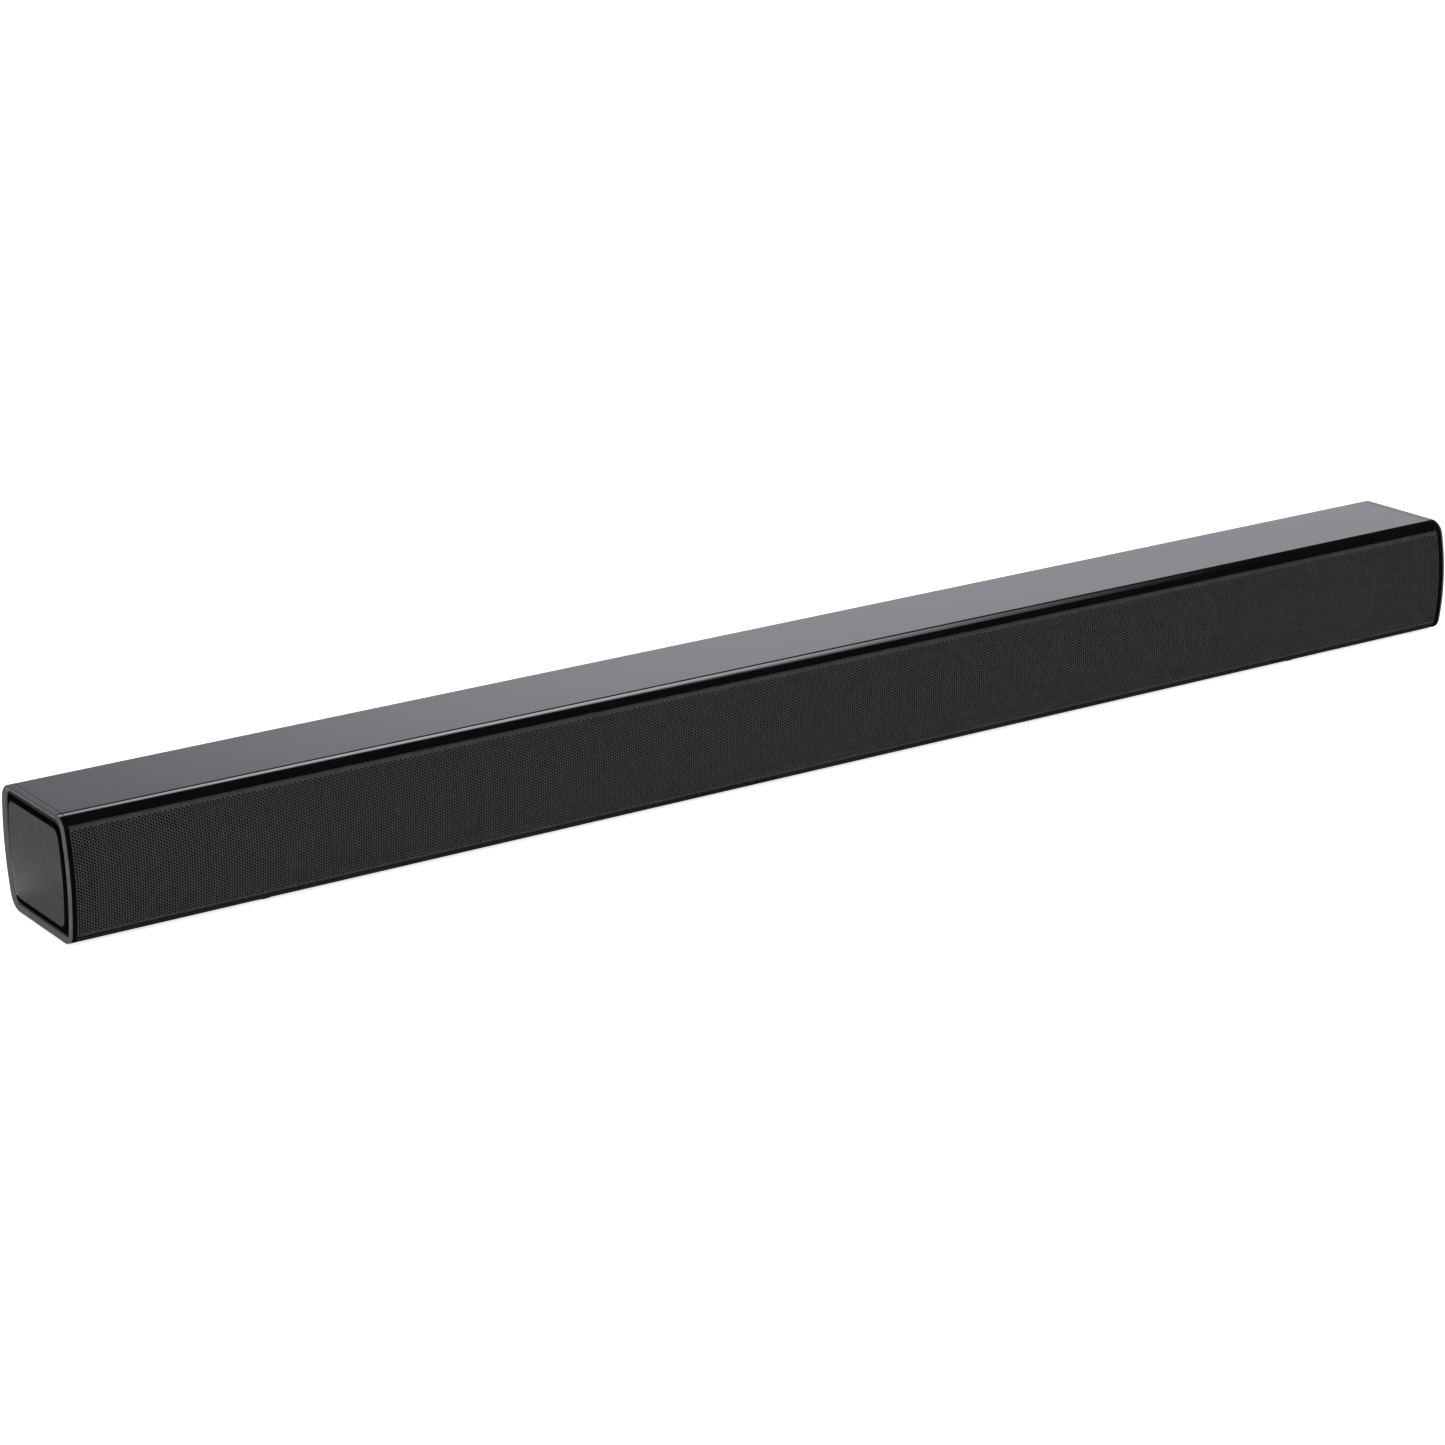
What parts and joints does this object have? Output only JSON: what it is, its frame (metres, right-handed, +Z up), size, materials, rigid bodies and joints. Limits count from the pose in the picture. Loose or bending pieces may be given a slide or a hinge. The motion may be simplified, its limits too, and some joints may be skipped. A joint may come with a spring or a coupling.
{
  "type": "soundbar",
  "caption": "Slim bar loudspeaker with a bowed perforated front, gloss top and end caps, side buttons and a rear connector bay, as an assembly with working joints.",
  "frame": {"origin": "middle of the footprint, on the surface that the feet stand on", "axes": "+X along the bar to the right as seen from the listener, -Y the perforated front, +Z up"},
  "size_m": [0.85, 0.075, 0.065],
  "materials": {
    "gloss_shell": "piano-black gloss",
    "matt_shell": "fine matt texture",
    "end_plate": "satin, very fine grain",
    "grille_steel": "black powder-coated perforated steel",
    "black_abs": "matt black moulding",
    "baffle_board": "black-stained fibreboard",
    "basket_metal": "black pressed steel",
    "magnet": "dark ferrite and zinc-plated plates",
    "rubber": "matt rubber",
    "paper_cone": "coated paper fibre",
    "spider_cloth": "resin-dipped cloth",
    "foam": "closed-cell foam",
    "button_plastic": "satin",
    "circuit_board": "green solder mask",
    "chip": "matt moulded chip",
    "bare_aluminium": "milled",
    "capacitor_sleeve": "shrink sleeve",
    "plated_steel": "zinc plated",
    "brass": "turned",
    "black_screw": "black zinc",
    "coil_tape": "yellow winding tape on ferrite",
    "lamp": "diffused lens",
    "ir_window": "dark infrared-pass plastic",
    "lead_sleeve": "soft insulation",
    "ribbon": "flat flexible cable"
  },
  "bodies": {
    "housing": {"top_cover": "gloss_shell", "rear_cover": "matt_shell", "bottom_cover": "matt_shell", "case_posts": "brass", "connector_tray": "matt_shell", "inlet_tray": "matt_shell", "hanger_trays": "matt_shell", "end_cap_left": "gloss_shell", "end_cap_right": "gloss_shell", "end_panel_left": "end_plate", "end_panel_right": "end_plate", "front_grille": "grille_steel", "grille_frame": "black_abs", "front_baffle": "baffle_board", "chamber_walls": "black_abs", "driver_basket_left": "basket_metal", "driver_basket_right": "basket_metal", "driver_magnet_left": "magnet", "driver_magnet_right": "magnet", "driver_surround_left": "rubber", "driver_surround_right": "rubber", "driver_spiders": "spider_cloth", "driver_gaskets": "foam", "driver_screws": "black_screw", "button_board": "circuit_board", "tact_switches": "black_abs", "main_board": "circuit_board", "amplifier_chip": "chip", "heatsink": "bare_aluminium", "board_capacitors": "capacitor_sleeve", "bluetooth_module": "plated_steel", "hdmi_socket": "plated_steel", "usb_socket": "plated_steel", "aux_socket": "black_abs", "optical_socket": "black_abs", "power_board": "circuit_board", "transformer": "coil_tape", "power_capacitors": "capacitor_sleeve", "mains_inlet": "black_abs", "led_board": "circuit_board", "status_leds": "lamp", "ir_receiver": "ir_window", "speaker_lead_left": "lead_sleeve", "speaker_lead_right": "lead_sleeve", "button_lead": "lead_sleeve", "ribbon_cable": "ribbon", "wall_hangers": "plated_steel", "hanger_screws": "plated_steel", "rubber_feet": "rubber", "case_screws": "black_screw", "board_screws": "plated_steel"},
    "power_button": {"power_button": "button_plastic"},
    "input_button": {"input_button": "button_plastic"},
    "bluetooth_button": {"bluetooth_button": "button_plastic"},
    "volume_down_button": {"volume_down_button": "button_plastic"},
    "volume_up_button": {"volume_up_button": "button_plastic"},
    "cone_left": {"driver_cone_left": "paper_cone"},
    "cone_right": {"driver_cone_right": "paper_cone"},
    "optical_shutter": {"optical_shutter": "black_abs"}
  },
  "joints": [
    {"name": "power_press", "type": "slide", "parent": "housing", "child": "power_button", "axis": [-1, 0, 0], "range_m": [0, 0.0008], "stiffness_N_per_m": 900},
    {"name": "input_press", "type": "slide", "parent": "housing", "child": "input_button", "axis": [-1, 0, 0], "range_m": [0, 0.0008], "stiffness_N_per_m": 900},
    {"name": "bluetooth_press", "type": "slide", "parent": "housing", "child": "bluetooth_button", "axis": [-1, 0, 0], "range_m": [0, 0.0008], "stiffness_N_per_m": 900},
    {"name": "volume_down_press", "type": "slide", "parent": "housing", "child": "volume_down_button", "axis": [-1, 0, 0], "range_m": [0, 0.0008], "stiffness_N_per_m": 900},
    {"name": "volume_up_press", "type": "slide", "parent": "housing", "child": "volume_up_button", "axis": [-1, 0, 0], "range_m": [0, 0.0008], "stiffness_N_per_m": 900},
    {"name": "cone_left_stroke", "type": "slide", "parent": "housing", "child": "cone_left", "axis": [0, -1, 0], "range_m": [-0.002, 0.002], "stiffness_N_per_m": 1500},
    {"name": "cone_right_stroke", "type": "slide", "parent": "housing", "child": "cone_right", "axis": [0, -1, 0], "range_m": [-0.002, 0.002], "stiffness_N_per_m": 1500},
    {"name": "shutter_swing", "type": "hinge", "parent": "housing", "child": "optical_shutter", "pos_m": [0.096, 0.0218, 0.0282], "axis": [-1, 0, 0], "range_deg": [0, 80], "stiffness_Nm_per_rad": 0.002}
  ]
}
